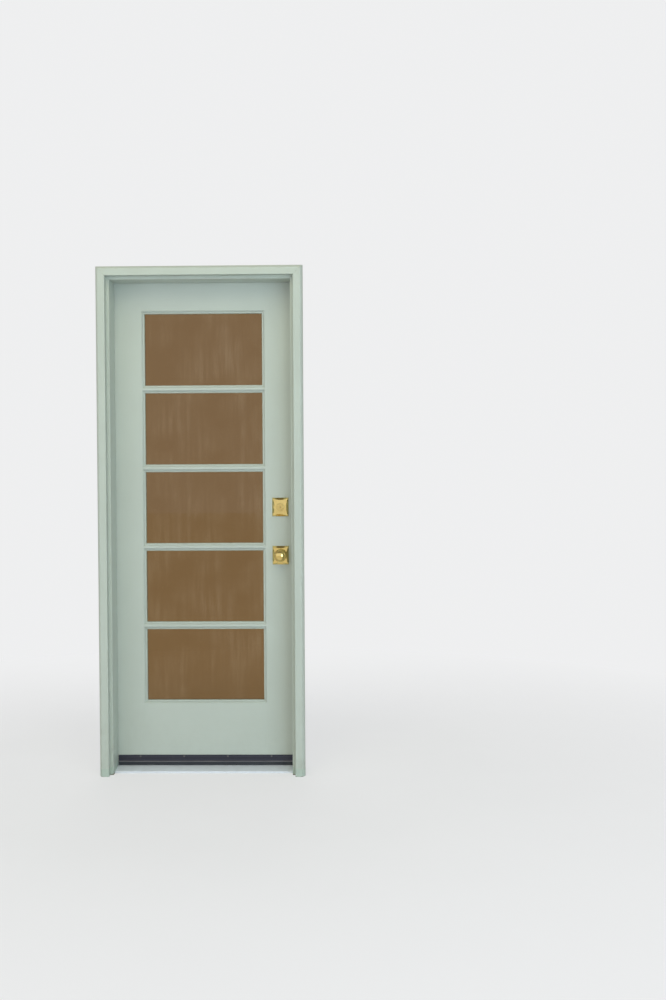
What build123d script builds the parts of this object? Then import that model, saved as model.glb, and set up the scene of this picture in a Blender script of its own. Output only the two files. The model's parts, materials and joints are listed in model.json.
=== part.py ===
from build123d import *
import os

# Five-lite glazed entry door hung in its outside frame. Sizes are in millimetres.
# X runs along the wall from the hinge side to the lock side, Y runs from outdoors to indoors and
# Z runs up from the floor. The origin is on the floor, under the middle of the leaf's outside face.

# Leaf
leaf_width = 762.0
leaf_height = 2032.0
leaf_thickness = 44.5
leaf_lift = 24.0
leaf_arris = 1.5
stile_face_width = 122.0
top_rail_face_width = 124.0
bottom_rail_face_width = 255.5
lite_count = 5
bar_nose_width = 8.0

# Moulding round each lite: a quirk, an ovolo and a flat lip in front of the glass
quirk_depth = 1.5
ovolo_width = 6.0
ovolo_depth = 8.5
ovolo_rise = 1.4
lip_width = 4.5
glass_setback = 16.0

# Glass and the beads that hold it from indoors
glass_thickness = 6.0
glass_edge_gap = 2.0
bead_bevel = 5.0

# Joints between stiles, rails and bars
tenon_thickness = 14.0
rail_tenon_length = 60.0
rail_tenon_shoulder = 30.0
bar_tenon_length = 15.0

# Frame
edge_gap = 3.0
seal_gap = 3.0
stop_depth = 12.0
stop_length = 102.0
rabbet_wall = 20.0
jamb_arris = 1.5

# Outside casing
casing_width = 40.0
casing_thickness = 32.0
casing_setback = 13.0
casing_round_width = 13.0
casing_round_depth = 24.0
casing_round_rise = 3.5
casing_arris = 1.5

# Foam weatherstrip with a barb in the jamb's kerf
strip_inset = 1.5
strip_width = 9.0
strip_shoulder = 1.8
strip_clearance = 0.3
barb_thickness = 1.2
barb_depth = 6.0
kerf_slack = 0.1

# Aluminium threshold
threshold_height = 16.0
threshold_front = 75.4
threshold_crown_front = 12.0
threshold_crown_back = 48.0
threshold_back = 77.0
threshold_edge = 8.0
threshold_skin = 4.0
threshold_web = 12.0
sill_screw_hole_radius = 2.6
sill_screw_head_radius = 4.8
sill_screw_count = 4
sill_screw_side_margin = 84.0

# Holes for the screws that fix the side jambs to the wall
jamb_screw_hole_radius = 2.75
jamb_screw_count = 4
jamb_screw_foot_margin = 156.0
jamb_screw_head_margin = 123.0

# Butt hinges
hinge_height = 101.6
hinge_plate_thickness = 2.5
hinge_backset = 7.0
hinge_corner_radius = 4.0
hinge_top_margin = 127.0
hinge_bottom_margin = 254.0
knuckle_count = 5
knuckle_radius = 7.0
knuckle_gap = 0.3
knuckle_standoff = 0.5
hinge_pin_radius = 3.5
hinge_pin_running_gap = 0.05
hinge_pin_head_radius = 6.0
hinge_pin_head_height = 4.0
hinge_pin_head_chamfer = 1.2
hinge_screw_rows = (-38.0, -14.0, 14.0, 38.0)
hinge_screw_inset = 9.0
hinge_screw_stagger = 14.0

# Countersunk wood screws
screw_head_radius = 4.2
screw_head_depth = 2.2
screw_shank_radius = 2.0
screw_slack = 0.1
jamb_wood_screw_length = 18.0
leaf_wood_screw_length = 25.0
sweep_screw_length = 16.0

# Lockset, shared by the knobs and the deadbolt
backset = 60.0
knob_height = 880.0
deadbolt_rise = 203.0
cross_bore_radius = 27.0
edge_bore_radius = 12.7
lock_case_radius = 12.2
lock_case_overrun = 14.0
faceplate_height = 57.0
faceplate_width = 25.4
faceplate_thickness = 2.0
plate_corner_radius = 3.0
faceplate_screw_offset = 21.0
bolt_slot_clearance = 0.3

# Roses: a straight rim under a dished field
rose_width = 68.5
rose_height = 78.5
rose_rim = 2.0
rose_projection = 9.0
rose_rim_pull = 0.4
rose_field_inset = 2.5
rose_field_pull = 7.0
rose_collar_radius = 16.0
rose_collar_height = 2.0
rose_collar_chamfer = 0.8
rose_post_radius = 4.0
rose_post_length = 16.0
rose_post_offset = 19.0

# Machine bolts between the roses
lock_bolt_radius = 1.8
lock_bolt_head_radius = 3.6
lock_bolt_head_depth = 1.9
lock_bolt_slack = 0.1
lock_bolt_engagement = 12.0

# Knobs and spindle
knob_radius = 25.5
knob_neck_radius = 11.0
knob_neck_inside = 6.0
knob_neck_outside = 15.0
knob_flare_mid_radius = 14.5
knob_flare_mid = 27.0
knob_rim_start = 36.0
knob_rim_end = 40.5
knob_rim_round = 1.5
knob_ring_width = 4.0
knob_ring_height = 4.0
knob_groove = 0.8
knob_projection = 54.0
running_gap = 0.08
spindle_width = 8.0
spindle_socket = 34.0
spindle_hub_clearance = 0.7

# Latch
latch_throw = 12.7
latch_thickness = 12.0
latch_height = 16.0
latch_tail = 27.3
latch_flat = 4.0

# Deadbolt
deadbolt_throw = 25.4
deadbolt_thickness = 14.0
deadbolt_height = 18.0
deadbolt_tail = 12.6
deadbolt_corner_radius = 3.0

# Cylinder, key plug, thumb turn and tailpiece
cylinder_radius = 11.0
cylinder_flange_radius = 12.5
cylinder_flange_height = 3.0
cylinder_flange_chamfer = 0.8
cylinder_back_gap = 0.4
cylinder_slack = 0.1
plug_radius = 6.5
plug_running_gap = 0.06
plug_proud = 0.4
plug_back_inset = 0.3
keyway_width = 2.2
keyway_height = 8.6
keyway_depth = 18.0
keyway_drop = 1.4
ward_width = 1.2
ward_height = 2.4
thumb_shaft_radius = 5.0
thumb_disc_radius = 13.0
thumb_disc_height = 2.5
thumb_disc_gap = 0.3
thumb_length = 36.0
thumb_width = 11.0
thumb_height = 15.0
thumb_round = 2.5
tailpiece_thickness = 2.4
tailpiece_width = 7.0
tailpiece_hold = 8.0
tailpiece_hub_clearance = 0.6
tailpiece_end_gap = 0.4

# Strikes in the lock-side jamb
strike_thickness = 1.6
strike_width = 28.0
latch_strike_height = 57.0
deadbolt_strike_height = 70.0
strike_hole_clearance = 1.5
strike_screw_margin = 8.0
strike_lip_height = 38.0
strike_lip_radius = 5.5
latch_end_gap = 4.0

# Sweep along the foot of the leaf
sweep_end_gap = 2.0
sweep_top_z = 60.0
sweep_upper_height = 12.5
sweep_upper_thickness = 4.0
sweep_lower_thickness = 6.5
sweep_step = 1.5
sweep_rib_reach = 9.0
sweep_rib_height = 3.5
sweep_carrier_height = 28.0
seal_channel_back = 2.5
seal_bead_thickness = 3.0
seal_bead_height = 5.0
seal_lip_thickness = 3.0
seal_lip_clearance = 0.5
seal_lip_taper = 1.0
sweep_screw_count = 4
sweep_screw_end_margin = 92.5
sweep_screw_drop = 5.5

# What follows from the driving sizes
half_leaf = leaf_width / 2
leaf_foot_z = leaf_lift
leaf_head_z = leaf_lift + leaf_height
sticking_width = ovolo_width + lip_width
sticking_depth = quirk_depth + ovolo_depth
stile_edge_x = half_leaf - stile_face_width
sight_x = stile_edge_x - sticking_width
top_rail_edge_z = leaf_head_z - top_rail_face_width
bottom_rail_edge_z = leaf_foot_z + bottom_rail_face_width
bar_width = bar_nose_width + 2 * sticking_width
sight_field = top_rail_edge_z - bottom_rail_edge_z - 2 * sticking_width
lite_height = (sight_field - (lite_count - 1) * bar_width) / lite_count
lite_pitch = lite_height + bar_width
first_sight_z = bottom_rail_edge_z + sticking_width
rebate_middle_y = (glass_setback + leaf_thickness) / 2
bead_front_y = glass_setback + glass_thickness

rabbet_x = half_leaf + edge_gap
stop_x = rabbet_x - stop_depth
jamb_back_x = rabbet_x + rabbet_wall
jamb_front_y = -seal_gap - stop_length
head_rabbet_z = leaf_head_z + edge_gap
head_stop_z = head_rabbet_z - stop_depth
head_back_z = head_rabbet_z + rabbet_wall
casing_inner_x = stop_x + casing_setback
casing_outer_x = casing_inner_x + casing_width
casing_inner_z = head_stop_z + casing_setback
casing_outer_z = casing_inner_z + casing_width
casing_front_y = jamb_front_y - casing_thickness

hinge_axis_x = -(half_leaf + rabbet_x) / 2
hinge_axis_y = leaf_thickness + knuckle_radius + knuckle_standoff
top_hinge_z = leaf_head_z - hinge_top_margin - hinge_height / 2
bottom_hinge_z = leaf_foot_z + hinge_bottom_margin + hinge_height / 2
middle_hinge_z = (top_hinge_z + bottom_hinge_z) / 2

bore_x = half_leaf - backset
knob_z = leaf_foot_z + knob_height
deadbolt_z = knob_z + deadbolt_rise
lock_middle_y = leaf_thickness / 2
latch_length = latch_throw + latch_tail
latch_pocket_depth = latch_throw - edge_gap + latch_end_gap
deadbolt_length = deadbolt_throw + deadbolt_tail
cylinder_back = lock_middle_y - lock_case_radius - cylinder_back_gap
sweep_half = stop_x - sweep_end_gap


def closed_face(*pieces):
    """A flat face inside lines and arcs that meet end to end."""
    return make_face([edge for piece in pieces for edge in piece.edges()])


def block(x_span, y_span, z_span):
    """A box given by its limits along X, Y and Z."""
    spans = (x_span, y_span, z_span)
    sizes = [high - low for low, high in spans]
    middle = [(high + low) / 2 for low, high in spans]
    return Pos(*middle) * Box(*sizes)


def upright(face, low_z, high_z):
    """Runs a plan face, drawn in X and Y, from one height to another."""
    return Pos(0, 0, low_z) * extrude(face, amount=high_z - low_z, dir=(0, 0, 1))


def across(face, half_length):
    """Runs a section, drawn in Z and Y, along X on both sides of the middle."""
    plane = Plane(origin=(half_length, 0, 0), x_dir=(0, 0, 1), z_dir=(-1, 0, 0))
    return extrude(plane * face, amount=2 * half_length, dir=(-1, 0, 0))


def along(face, half_length):
    """Runs a section, drawn in Y and Z, along X on both sides of the middle."""
    plane = Plane(origin=(-half_length, 0, 0), x_dir=(0, 1, 0), z_dir=(1, 0, 0))
    return extrude(plane * face, amount=2 * half_length, dir=(1, 0, 0))


def wall_prism(points, low_y, high_y):
    """Runs an elevation, drawn in X and Z, from one depth to another."""
    plane = Plane(origin=(0, low_y, 0), x_dir=(1, 0, 0), z_dir=(0, -1, 0))
    face = plane * make_face(Polyline(*points, close=True).edges())
    return extrude(face, amount=high_y - low_y, dir=(0, 1, 0))


def other_hand(solid):
    """The same solid on the other side of the door."""
    return mirror(solid, about=Plane.YZ)


def outside_at(height):
    """Plane on the leaf's outside face at the lock bores, with its Z pointing outdoors."""
    return Plane(origin=(bore_x, 0, height), x_dir=(1, 0, 0), z_dir=(0, -1, 0))


def inside_at(height):
    """Plane on the leaf's inside face at the lock bores, with its Z pointing indoors."""
    return Plane(origin=(bore_x, leaf_thickness, height), x_dir=(-1, 0, 0), z_dir=(0, 1, 0))


def turned(*pieces):
    """Turns a half section, drawn as radius and height, about its own axis."""
    return revolve(Plane.XZ * closed_face(*pieces), axis=Axis.Z)


def disc(radius, low, high):
    """A cylinder on the local axis between two heights."""
    return Pos(0, 0, (low + high) / 2) * Cylinder(radius, high - low)


def countersunk(length, head_radius, head_depth, shank_radius, slack=0.0):
    """A countersunk screw whose head is flush with the local origin, or its hole with slack."""
    points = [
        (0, 0),
        (head_radius + slack, 0),
        (shank_radius + slack, -head_depth),
        (shank_radius + slack, -length - slack),
        (0, -length - slack),
    ]
    return turned(Polyline(*points, close=True))


def wood_screws(heads, facing, length):
    """Wood screws with their heads at the given points, and the holes they sit in."""
    sizes = (length, screw_head_radius, screw_head_depth, screw_shank_radius)
    screw = countersunk(*sizes)
    hole = countersunk(*sizes, screw_slack)
    places = [Plane(origin=head, z_dir=facing) for head in heads]
    return [place * screw for place in places], [place * hole for place in places]


def evenly(count, first, last):
    """Places of a row of like things from the first to the last."""
    pitch = (last - first) / (count - 1)
    return [first + index * pitch for index in range(count)]


def cut(solid, tools):
    """The solid less each of the tools."""
    for tool in tools:
        solid = solid - tool
    return solid


def moulding(edge_at, side):
    """The moulded edge of a stile, rail or bar, from its face to the shoulder behind the lip."""
    quirk_foot = (edge_at, quirk_depth)
    ovolo_foot = (edge_at + side * ovolo_width, sticking_depth)
    lip_front = (edge_at + side * sticking_width, sticking_depth)
    lip_back = (edge_at + side * sticking_width, glass_setback)
    return [
        Line((edge_at, 0), quirk_foot),
        SagittaArc(quirk_foot, ovolo_foot, -side * ovolo_rise),
        Polyline(ovolo_foot, lip_front, lip_back, (edge_at, glass_setback)),
    ]


def member_face(edge_at, side, width):
    """Section of a stile or rail whose moulded edge faces the glass on the given side."""
    outer = edge_at - side * width
    eased = outer + side * leaf_arris
    body = Polyline(
        (edge_at, glass_setback),
        (edge_at, leaf_thickness),
        (eased, leaf_thickness),
        (outer, leaf_thickness - leaf_arris),
        (outer, leaf_arris),
        (eased, 0),
        (edge_at, 0),
    )
    return closed_face(*moulding(edge_at, side), body)


def bar_face(middle):
    """Section of a glazing bar, moulded on both sides of its nose."""
    low = middle - bar_nose_width / 2
    high = middle + bar_nose_width / 2
    nose = Line((low, 0), (high, 0))
    stem = Polyline(
        (low, glass_setback), (low, leaf_thickness), (high, leaf_thickness), (high, glass_setback)
    )
    return closed_face(nose, *moulding(high, 1), *moulding(low, -1), stem)


def tenon(low_z, high_z, length):
    """A tenon that runs through a rail or bar and into both stiles."""
    reach = stile_edge_x + length
    half = tenon_thickness / 2
    return block((-reach, reach), (rebate_middle_y - half, rebate_middle_y + half), (low_z, high_z))


def bar_middle(index):
    """Height of a bar's middle, counted from the lowest bar."""
    return first_sight_z + (index + 1) * lite_pitch - bar_width / 2


def joinery():
    """Stiles, rails and bars: moulded, coped over the stiles and tenoned into them."""
    hinge_stile = upright(
        member_face(-stile_edge_x, 1, stile_face_width), leaf_foot_z, leaf_head_z
    )
    stiles = [hinge_stile, other_hand(hinge_stile)]
    top_face = member_face(top_rail_edge_z, -1, top_rail_face_width)
    bottom_face = member_face(bottom_rail_edge_z, 1, bottom_rail_face_width)
    top_tenon = tenon(
        top_rail_edge_z + rail_tenon_shoulder, leaf_head_z - rail_tenon_shoulder, rail_tenon_length
    )
    bottom_tenon = tenon(
        leaf_foot_z + rail_tenon_shoulder, bottom_rail_edge_z - rail_tenon_shoulder, rail_tenon_length
    )
    rails = {
        "top_rail": cut(across(top_face, stile_edge_x), stiles) + top_tenon,
        "bottom_rail": cut(across(bottom_face, stile_edge_x), stiles) + bottom_tenon,
    }
    tenons = [top_tenon, bottom_tenon]
    for index in range(lite_count - 1):
        middle = bar_middle(index)
        half = bar_nose_width / 2
        bar_tenon = tenon(middle - half, middle + half, bar_tenon_length)
        bar = cut(across(bar_face(middle), stile_edge_x), stiles) + bar_tenon
        rails[f"glazing_bar_{lite_count - 1 - index}"] = bar
        tenons.append(bar_tenon)
    mortised = [cut(stile, tenons) for stile in stiles]
    return mortised[0], mortised[1], rails


def bead_ring():
    """The four mitred beads of the lowest lite."""
    low = first_sight_z - sticking_width
    high = first_sight_z + lite_height + sticking_width
    inner_low = low + sticking_width
    inner_high = high - sticking_width

    def bead_face(wall, side):
        """Section of a bead against its rebate wall, bevelled towards the lite."""
        front = wall + side * sticking_width
        points = [
            (wall, bead_front_y),
            (front, bead_front_y),
            (front, leaf_thickness - bead_bevel),
            (front - side * bead_bevel, leaf_thickness),
            (wall, leaf_thickness),
        ]
        return closed_face(Polyline(*points, close=True))

    corners = [(-stile_edge_x, low), (stile_edge_x, low), (stile_edge_x, high), (-stile_edge_x, high)]
    inner = [(-sight_x, inner_low), (sight_x, inner_low), (sight_x, inner_high), (-sight_x, inner_high)]
    sticks = [
        across(bead_face(low, 1), stile_edge_x),
        upright(bead_face(stile_edge_x, -1), low, high),
        across(bead_face(high, -1), stile_edge_x),
        upright(bead_face(-stile_edge_x, 1), low, high),
    ]
    beads = []
    for index, stick in enumerate(sticks):
        following = (index + 1) % len(corners)
        mitre = [corners[index], corners[following], inner[following], inner[index]]
        beads.append(stick & wall_prism(mitre, bead_front_y, leaf_thickness))
    return beads


def glazing():
    """One pane and one ring of beads for each lite, counted from the top."""
    reach = sticking_width - glass_edge_gap
    pane = block(
        (-sight_x - reach, sight_x + reach),
        (glass_setback, bead_front_y),
        (first_sight_z - reach, first_sight_z + lite_height + reach),
    )
    beads = bead_ring()
    nodes = {}
    for index in range(lite_count):
        rise = Pos(0, 0, (lite_count - 1 - index) * lite_pitch)
        nodes[f"glass_pane_{index + 1}"] = rise * pane
        nodes[f"glazing_beads_{index + 1}"] = Compound(children=[rise * bead for bead in beads])
    return nodes


def jamb_face(stop_at):
    """Section of a jamb: the deep stop in front and the rabbet behind it."""
    back = stop_at + stop_depth + rabbet_wall
    rabbet = stop_at + stop_depth
    points = [
        (stop_at, jamb_front_y + jamb_arris),
        (stop_at + jamb_arris, jamb_front_y),
        (back, jamb_front_y),
        (back, leaf_thickness),
        (rabbet + jamb_arris, leaf_thickness),
        (rabbet, leaf_thickness - jamb_arris),
        (rabbet, -seal_gap),
        (stop_at, -seal_gap),
    ]
    return closed_face(Polyline(*points, close=True))


def kerf_face(stop_at):
    """Section of the groove in a stop that takes the weatherstrip's barb."""
    middle = stop_at + strip_inset + strip_width / 2
    half = barb_thickness / 2 + kerf_slack
    end = -seal_gap - barb_depth - kerf_slack
    points = [
        (middle - half, -seal_gap),
        (middle + half, -seal_gap),
        (middle + half, end),
        (middle - half, end),
    ]
    return closed_face(Polyline(*points, close=True))


def casing_face(inner_at):
    """Section of the casing: a flat face with a broad round towards the wall."""
    outer_at = inner_at + casing_width
    round_start = (outer_at - casing_round_width, casing_front_y)
    round_end = (outer_at, casing_front_y + casing_round_depth)
    flat = Polyline(
        round_end,
        (outer_at, jamb_front_y),
        (inner_at, jamb_front_y),
        (inner_at, casing_front_y + casing_arris),
        (inner_at + casing_arris, casing_front_y),
        round_start,
    )
    return closed_face(flat, SagittaArc(round_start, round_end, -casing_round_rise))


def strip_face(stop_at):
    """Section of the weatherstrip: a crowned bulb and the barb behind it."""
    low = stop_at + strip_inset
    high = low + strip_width
    middle = (low + high) / 2
    half_barb = barb_thickness / 2
    shoulder = -seal_gap + strip_shoulder
    back = Polyline(
        (low, shoulder),
        (low, -seal_gap),
        (middle - half_barb, -seal_gap),
        (middle - half_barb, -seal_gap - barb_depth),
        (middle + half_barb, -seal_gap - barb_depth),
        (middle + half_barb, -seal_gap),
        (high, -seal_gap),
        (high, shoulder),
    )
    crown = ThreePointArc((high, shoulder), (middle, -strip_clearance), (low, shoulder))
    return closed_face(back, crown)


def threshold(jambs):
    """Low saddle between the jambs, with a sloped nose, hollow channels and screw holes."""
    outline = Polyline(
        (-threshold_front, 0),
        (-threshold_front, threshold_edge),
        (-threshold_crown_front, threshold_height),
        (threshold_crown_back, threshold_height),
        (threshold_back, threshold_edge),
        (threshold_back, 0),
        close=True,
    )
    saddle = cut(along(closed_face(outline), rabbet_x), jambs)
    channel_top = threshold_height - threshold_skin
    half_web = threshold_web / 2
    hole_y = threshold_crown_back - threshold_web
    channels = [
        (-threshold_crown_front, -half_web),
        (half_web, hole_y - half_web),
    ]
    for low_y, high_y in channels:
        saddle = saddle - block((-rabbet_x, rabbet_x), (low_y, high_y), (0, channel_top))
    hole = countersunk(
        2 * threshold_height, sill_screw_head_radius, screw_head_depth, sill_screw_hole_radius
    )
    last = rabbet_x - sill_screw_side_margin
    for place in evenly(sill_screw_count, -last, last):
        saddle = saddle - Pos(place, hole_y, threshold_height) * hole
    return saddle


def casings():
    """Two side casings and a head casing, mitred at the top corners."""
    side_face = casing_face(casing_inner_x)
    side_elevation = [
        (casing_inner_x, 0),
        (casing_outer_x, 0),
        (casing_outer_x, casing_outer_z),
        (casing_inner_x, casing_inner_z),
    ]
    head_elevation = [
        (casing_inner_x, casing_inner_z),
        (casing_outer_x, casing_outer_z),
        (-casing_outer_x, casing_outer_z),
        (-casing_inner_x, casing_inner_z),
    ]
    side = upright(side_face, 0, casing_outer_z) & wall_prism(
        side_elevation, casing_front_y, jamb_front_y
    )
    head = across(casing_face(casing_inner_z), casing_outer_x) & wall_prism(
        head_elevation, casing_front_y, jamb_front_y
    )
    return {
        "hinge_side_casing": other_hand(side),
        "strike_side_casing": side,
        "head_casing": head,
    }


def jamb_fixing_holes():
    """Holes through the strike-side rabbet for the screws that fix the frame to the wall."""
    span = (rabbet_x, jamb_back_x)
    hole = Rot(0, 90, 0) * Cylinder(jamb_screw_hole_radius, 2 * (span[1] - span[0]))
    heights = evenly(
        jamb_screw_count, jamb_screw_foot_margin, head_back_z - jamb_screw_head_margin
    )
    return [Pos(sum(span) / 2, lock_middle_y, height) * hole for height in heights]


def hinge_screw_places(height):
    """Depth and height of each screw in a hinge plate, staggered up the plate."""
    places = []
    for index, offset in enumerate(hinge_screw_rows):
        depth = hinge_backset + hinge_screw_inset + (index % 2) * hinge_screw_stagger
        places.append((depth, height + offset))
    return places


def hinge_plate(face_x, into, height):
    """The plate let into the wood behind face_x, with its far corners rounded."""
    span = sorted((face_x, face_x + into * hinge_plate_thickness))
    half = hinge_height / 2
    plate = block(span, (hinge_backset, leaf_thickness), (height - half, height + half))
    far_corners = plate.edges().filter_by(Axis.X).group_by(Axis.Y)[0]
    return fillet(far_corners, hinge_corner_radius)


def hinge_half(plate, face_x, into, height, first_knuckle):
    """A plate with its own share of the knuckles, bored for the pin."""
    knuckle_height = (hinge_height - (knuckle_count - 1) * knuckle_gap) / knuckle_count
    span = sorted((face_x, face_x + into * hinge_plate_thickness))
    half = plate
    for index in range(first_knuckle, knuckle_count, 2):
        low = height - hinge_height / 2 + index * (knuckle_height + knuckle_gap)
        high = low + knuckle_height
        half = half + block(span, (leaf_thickness, hinge_axis_y), (low, high))
        half = half + Pos(hinge_axis_x, hinge_axis_y, 0) * disc(knuckle_radius, low, high)
    bore = disc(hinge_pin_radius + hinge_pin_running_gap, height - hinge_height, height + hinge_height)
    return half - Pos(hinge_axis_x, hinge_axis_y, 0) * bore


def hinge_pin(height):
    """A headed pin with a plug at its foot, just clear of the knuckles."""
    half = hinge_height / 2
    shaft = disc(hinge_pin_radius, -half, half)
    head = Pos(0, 0, half) * disc(hinge_pin_head_radius, 0, hinge_pin_head_height)
    head = chamfer(head.edges().group_by(Axis.Z)[-1], hinge_pin_head_chamfer)
    return Pos(hinge_axis_x, hinge_axis_y, height) * (shaft + head + mirror(head, about=Plane.XY))


def hinge(height):
    """Both halves of a hinge, its pin, its screws, and what is cut from jamb and stile for them."""
    faces = {"jamb": (-rabbet_x, -1, 0), "door": (-half_leaf, 1, 1)}
    lengths = {"jamb": jamb_wood_screw_length, "door": leaf_wood_screw_length}
    made = {"pin": hinge_pin(height)}
    for part, (face_x, into, first_knuckle) in faces.items():
        plate = hinge_plate(face_x, into, height)
        facing = (-into, 0, 0)
        heads = [(face_x, depth, level) for depth, level in hinge_screw_places(height)]
        screws, holes = wood_screws(heads, facing, lengths[part])
        made[part] = cut(hinge_half(plate, face_x, into, height, first_knuckle), holes)
        made[part + "_screws"] = screws
        made[part + "_cuts"] = [plate, *holes]
    return made


def dished_face(width, height, pull):
    """A rectangle whose four sides are arcs pulled in at their middles."""
    x = width / 2
    y = height / 2
    return closed_face(
        ThreePointArc((-x, -y), (0, -y + pull), (x, -y)),
        ThreePointArc((x, -y), (x - pull, 0), (x, y)),
        ThreePointArc((x, y), (0, y - pull), (-x, y)),
        ThreePointArc((-x, y), (-x + pull, 0), (-x, -y)),
    )


def rose(bore_radius, posts):
    """A rose with a straight rim, hollowed flanks, a dished field and a collar round its bore."""
    rim_outline = dished_face(rose_width, rose_height, rose_rim_pull)
    field_outline = dished_face(
        rose_width - 2 * rose_field_inset, rose_height - 2 * rose_field_inset, rose_field_pull
    )
    rim = extrude(rim_outline, amount=rose_rim)
    flank = loft([Pos(0, 0, rose_rim) * rim_outline, Pos(0, 0, rose_projection) * field_outline])
    collar = disc(rose_collar_radius, rose_projection, rose_projection + rose_collar_height)
    collar = chamfer(collar.edges().group_by(Axis.Z)[-1], rose_collar_chamfer)
    body = rim + flank + collar
    for offset in (-rose_post_offset, rose_post_offset):
        place = Pos(0, offset, 0)
        if posts:
            body = body + place * disc(rose_post_radius, -rose_post_length, 0)
            body = body - place * disc(
                lock_bolt_radius + lock_bolt_slack, -rose_post_length, rose_projection / 2
            )
        else:
            body = body - place * lock_bolt()[1]
    reach = rose_projection + rose_collar_height
    return body - disc(bore_radius, -rose_post_length, reach)


def lock_bolt():
    """A machine bolt from the inside rose's field to the outside rose's post, and its hole."""
    length = rose_projection + leaf_thickness - rose_post_length + lock_bolt_engagement
    sizes = (length, lock_bolt_head_radius, lock_bolt_head_depth, lock_bolt_radius)
    at_field = Pos(0, 0, rose_projection)
    return at_field * countersunk(*sizes), at_field * countersunk(*sizes, lock_bolt_slack)


def knob():
    """A turned knob with a waisted neck, a raised ring round its face and a domed middle."""
    ring_inner = knob_radius - knob_ring_width
    ring_top = knob_rim_end + knob_ring_height
    groove_radius = ring_inner - knob_groove
    groove_foot = ring_top - knob_groove
    profile = [
        Polyline((0, -knob_neck_inside), (knob_neck_radius, -knob_neck_inside)),
        Line((knob_neck_radius, -knob_neck_inside), (knob_neck_radius, knob_neck_outside)),
        ThreePointArc(
            (knob_neck_radius, knob_neck_outside),
            (knob_flare_mid_radius, knob_flare_mid),
            (knob_radius - knob_rim_round, knob_rim_start),
        ),
        Line(
            (knob_radius - knob_rim_round, knob_rim_start),
            (knob_radius, knob_rim_start + knob_rim_round),
        ),
        Line((knob_radius, knob_rim_start + knob_rim_round), (knob_radius, knob_rim_end)),
        SagittaArc((knob_radius, knob_rim_end), (ring_inner, ring_top), knob_rim_round),
        Line((ring_inner, ring_top), (groove_radius, groove_foot)),
        RadiusArc(
            (groove_radius, groove_foot),
            (0, knob_projection),
            -dome_radius(groove_radius, knob_projection - groove_foot),
        ),
        Line((0, knob_projection), (0, -knob_neck_inside)),
    ]
    socket = block(
        (-spindle_width / 2, spindle_width / 2),
        (-spindle_width / 2, spindle_width / 2),
        (-knob_neck_inside, spindle_socket),
    )
    return turned(*profile) - socket


def dome_radius(half_chord, rise):
    """Radius of a dome that rises from a circle of the given radius."""
    return (half_chord**2 + rise**2) / (2 * rise)


def edge_plate(height):
    """The faceplate blank in the leaf's lock edge."""
    half = faceplate_height / 2
    plate = block(
        (half_leaf - faceplate_thickness, half_leaf),
        (lock_middle_y - faceplate_width / 2, lock_middle_y + faceplate_width / 2),
        (height - half, height + half),
    )
    return fillet(plate.edges().filter_by(Axis.X), plate_corner_radius)


def bolt_bar(thickness, tall, length, corner, grow=0.0):
    """A bar that lies inside the leaf with its end at the lock edge, or its slot when grown."""
    y = thickness / 2 + grow
    z = tall / 2 + grow
    bar = block((half_leaf - length - grow, half_leaf), (-y, y), (-z, z))
    return fillet(bar.edges().filter_by(Axis.X), corner + grow)


def lock_case(height, slot, hub_radius):
    """A tubular case with its faceplate, slotted for the bolt and bored for the hub."""
    tube = Rot(0, 90, 0) * disc(lock_case_radius, bore_x - lock_case_overrun, half_leaf)
    hub = Pos(bore_x, 0, 0) * (Rot(90, 0, 0) * Cylinder(hub_radius, 3 * lock_case_radius))
    at_height = Pos(0, lock_middle_y, height)
    case = at_height * (tube - hub) + edge_plate(height)
    return case - at_height * slot


def faceplate_screw_heads(height):
    """Where a faceplate's two screws have their heads."""
    offsets = (-faceplate_screw_offset, faceplate_screw_offset)
    return [(half_leaf, lock_middle_y, height + offset) for offset in offsets]


def latch():
    """A spring latch, bevelled towards outdoors, drawn back into the leaf."""
    bar = block(
        (half_leaf - latch_length, half_leaf),
        (-latch_thickness / 2, latch_thickness / 2),
        (-latch_height / 2, latch_height / 2),
    )
    back_of_bevel = half_leaf - (latch_thickness - latch_flat)
    bevel = Polyline(
        (half_leaf, latch_thickness / 2 - latch_flat),
        (half_leaf, -latch_thickness / 2),
        (back_of_bevel, -latch_thickness / 2),
        close=True,
    )
    return bar - upright(closed_face(bevel), -latch_height / 2, latch_height / 2)


def lock_cylinder():
    """The flanged cylinder, bored for its plug."""
    face = rose_projection + rose_collar_height
    flange = disc(cylinder_flange_radius, face, face + cylinder_flange_height)
    flange = chamfer(flange.edges().group_by(Axis.Z)[-1], cylinder_flange_chamfer)
    body = flange + disc(cylinder_radius, -cylinder_back, face)
    bore = disc(plug_radius + plug_running_gap, -cylinder_back, face + cylinder_flange_height)
    return body - bore


def key_plug():
    """The plug with its keyway: an upright slot with a side ward."""
    front = rose_projection + rose_collar_height + cylinder_flange_height + plug_proud
    plug = disc(plug_radius, plug_back_inset - cylinder_back, front)
    slot = block(
        (-keyway_width / 2, keyway_width / 2),
        (-keyway_height / 2 - keyway_drop / 2, keyway_height / 2 - keyway_drop / 2),
        (front - keyway_depth, front),
    )
    ward = block(
        (keyway_width / 2, keyway_width / 2 + ward_width),
        (-ward_height, 0),
        (front - keyway_depth, front),
    )
    return plug - slot - ward


def thumb_turn():
    """The inside turn: a shaft through the rose, a disc on its collar and an oval wing."""
    seat = rose_projection + rose_collar_height + thumb_disc_gap
    shaft = disc(thumb_shaft_radius, -tailpiece_hold, seat)
    base = disc(thumb_disc_radius, seat, seat + thumb_disc_height)
    wing = extrude(Rot(0, 0, 90) * SlotOverall(thumb_length, thumb_width), amount=thumb_height)
    wing = fillet(wing.edges().group_by(Axis.Z)[-1], thumb_round)
    turn = shaft + base + Pos(0, 0, seat + thumb_disc_height) * wing
    return turn - tailpiece_section(-tailpiece_hold, 0)


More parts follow.
